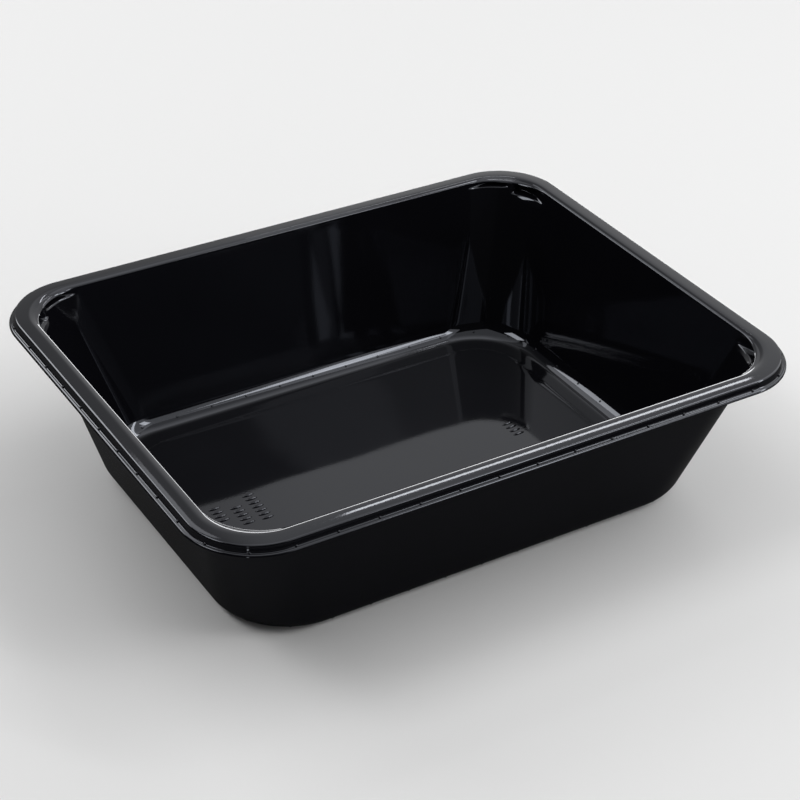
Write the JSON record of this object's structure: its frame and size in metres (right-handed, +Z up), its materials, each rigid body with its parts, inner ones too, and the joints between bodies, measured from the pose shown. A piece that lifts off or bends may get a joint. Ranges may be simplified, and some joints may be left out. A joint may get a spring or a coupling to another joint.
{
  "type": "plastic meal tray",
  "caption": "Glossy black thermoformed meal tray with tapered walls, rounded corners, a sealing flange with a trim lip, and nesting lugs.",
  "frame": {"origin": "centre of the tray's outline, on the plane that its base rests on", "axes": "+X along the length, +Y along the width, +Z up out of the tray's mouth"},
  "size_m": [0.227, 0.1816, 0.0585],
  "materials": {
    "tray_plastic": "gloss black formed sheet"
  },
  "bodies": {
    "root": {"meal_tray": "tray_plastic"}
  },
  "joints": []
}
